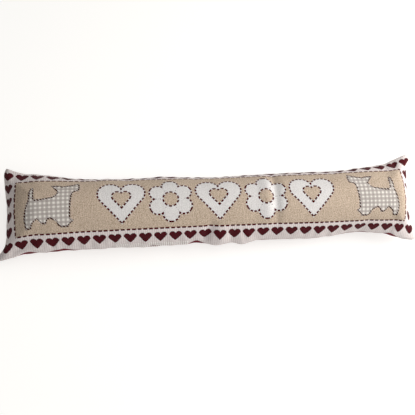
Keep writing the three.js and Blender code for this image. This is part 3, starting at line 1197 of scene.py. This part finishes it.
# %% [markdown]
# ## Thread of the stitches
# Sewing thread is twisted from fine fibres, so it is dull and not quite even. Plain white would do
# from far off, but it looks like wire close to. A very fine noise varies the white and roughens the
# tube, which is cheaper than twisting strands of it.

# %% Thread of the stitches
THREAD_DARK = dyed(238, 235, 231)
THREAD_LIGHT = dyed(254, 252, 249)
FIBRE_SCALE = 2500.0

thread = bpy.data.materials.new("white_thread")
thread.use_nodes = True
thread_shader = thread.node_tree.nodes["Principled BSDF"]
spin = Wire(thread.node_tree.nodes.new("ShaderNodeTexCoord").outputs["Object"])
fibres = spin.node("ShaderNodeTexNoise", {}, {"Vector": spin, "Scale": FIBRE_SCALE, "Detail": 2.0})
thread_colour = fibres.colour(THREAD_DARK, THREAD_LIGHT)
thread.node_tree.links.new(thread_colour.socket, thread_shader.inputs["Base Color"])
relief = {"Strength": 0.4, "Distance": 0.1 * MM, "Height": fibres}
thread_bump = fibres.node("ShaderNodeBump", {}, relief)
thread.node_tree.links.new(thread_bump.socket, thread_shader.inputs["Normal"])
thread_shader.inputs["Roughness"].default_value = 0.8
stitch_mesh.materials.append(thread)
print("nodes in the thread:", len(thread.node_tree.nodes))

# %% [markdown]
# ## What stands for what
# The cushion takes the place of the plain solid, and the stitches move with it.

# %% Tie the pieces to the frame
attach(cushion, "root")
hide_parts(NODE)
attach(stitches, "root")
print("pieces:", cushion.name, "and", stitches.name)

# %% [markdown]
# ## Floor
# The cushion lies on a plain pale floor. A white floor would need strong light to look white, and that
# light would bleach the cushion. So this one is grey and glows a little by itself, and a soft shadow
# still shows on it. It is stage, not part of the cushion.

# %% Floor
FLOOR_HALF = 6
FLOOR_GREY = (0.35, 0.35, 0.35, 1)
FLOOR_GLOW = (1, 0.985, 0.955, 1)

floor_mesh = bpy.data.meshes.new("floor")
floor_corners = [(x * FLOOR_HALF, y * FLOOR_HALF, 0) for x, y in ((-1, -1), (1, -1), (1, 1), (-1, 1))]
floor_mesh.from_pydata(floor_corners, [], [(0, 1, 2, 3)])
floor = bpy.data.objects.new("floor", floor_mesh)
bpy.context.scene.collection.objects.link(floor)
floor_paint = bpy.data.materials.new("pale_floor")
floor_paint.use_nodes = True
floor_shader = floor_paint.node_tree.nodes["Principled BSDF"]
floor_shader.inputs["Base Color"].default_value = FLOOR_GREY
floor_shader.inputs["Roughness"].default_value = 0.9
floor_shader.inputs["Emission Color"].default_value = FLOOR_GLOW
floor_shader.inputs["Emission Strength"].default_value = 0.75
floor_shader.inputs["Specular IOR Level"].default_value = 0.1
floor_mesh.materials.append(floor_paint)
print("floor", 2 * FLOOR_HALF, "m across")

# %% [markdown]
# ## Light
# The light is soft, with a direction: the right end is bright and the left end falls into a little
# shade. A sun would draw a hard edge and a sky alone none at all, so one large lamp stands low to the
# right, a second, weaker one hangs overhead, and a dim sky fills what is left.

# %% Light
SKY_STRENGTH = 0.12
KEY_POWER = 36
KEY_SIZE = 1.0
KEY_AT = Vector((1.6, 0.15, 0.88))
KEY_TINT = (1, 0.975, 0.945)
FILL_POWER = 15
FILL_SIZE = 1.6
FILL_AT = Vector((0.2, -0.5, 1.7))
FILL_TINT = (1, 1, 1)
SKY_TINT = (1, 0.975, 0.93, 1)

world = bpy.data.worlds.new("soft_sky")
world.use_nodes = True
sky = world.node_tree.nodes["Background"]
sky.inputs["Color"].default_value = SKY_TINT
sky.inputs["Strength"].default_value = SKY_STRENGTH
bpy.context.scene.world = world


def add_lamp(name, power, size, place, tint):
    """A large square lamp that points at the middle of the floor."""
    data = bpy.data.lights.new(name, "AREA")
    data.energy = power
    data.size = size
    data.color = tint
    lamp = bpy.data.objects.new(name, data)
    lamp.location = place
    lamp.rotation_euler = (-place).to_track_quat("-Z", "Y").to_euler()
    bpy.context.scene.collection.objects.link(lamp)


add_lamp("key", KEY_POWER, KEY_SIZE, KEY_AT, KEY_TINT)
add_lamp("fill", FILL_POWER, FILL_SIZE, FILL_AT, FILL_TINT)
bpy.context.scene.view_settings.view_transform = "Standard"
print("lit from the right, with", KEY_POWER, "W against", FILL_POWER, "W overhead")

# %% [markdown]
# ## Camera
# The camera stands above the lower edge, a little to the left, and is turned so that the cushion lies
# almost level in the picture. It could be aimed with a Track To constraint, but that would keep the
# camera upright, so its three axes are worked out from the rise, the swing and the roll.

# %% Camera
PICTURE_SIZE = 415
SENSOR_WIDTH = 36
CAMERA_DISTANCE = 1.2298
CAMERA_RISE = math.radians(69.63)
CAMERA_SWING = math.radians(-23.31)
CAMERA_ROLL = math.radians(19.70)
CAMERA_FOCUS_PIXELS = 570.9
LOOKS_AT = Vector((-17.67, 2.85, SEAM_HEIGHT)) * MM + Vector(shift)

back_axis = Vector((
    math.sin(CAMERA_SWING) * math.cos(CAMERA_RISE),
    -math.cos(CAMERA_SWING) * math.cos(CAMERA_RISE),
    math.sin(CAMERA_RISE),
))
level_axis = Vector((math.cos(CAMERA_SWING), math.sin(CAMERA_SWING), 0))
upper_axis = back_axis.cross(level_axis)
right_axis = level_axis * math.cos(CAMERA_ROLL) + upper_axis * math.sin(CAMERA_ROLL)
up_axis = upper_axis * math.cos(CAMERA_ROLL) - level_axis * math.sin(CAMERA_ROLL)
camera_data = bpy.data.cameras.new("camera")
camera_data.sensor_width = SENSOR_WIDTH
camera_data.lens = CAMERA_FOCUS_PIXELS / PICTURE_SIZE * SENSOR_WIDTH
camera = bpy.data.objects.new("camera", camera_data)
turn = Matrix((right_axis, up_axis, back_axis)).transposed().to_4x4()
camera.matrix_world = Matrix.Translation(LOOKS_AT + back_axis * CAMERA_DISTANCE) @ turn
bpy.context.scene.collection.objects.link(camera)
bpy.context.scene.camera = camera
print("lens", round(camera_data.lens, 1), "mm")
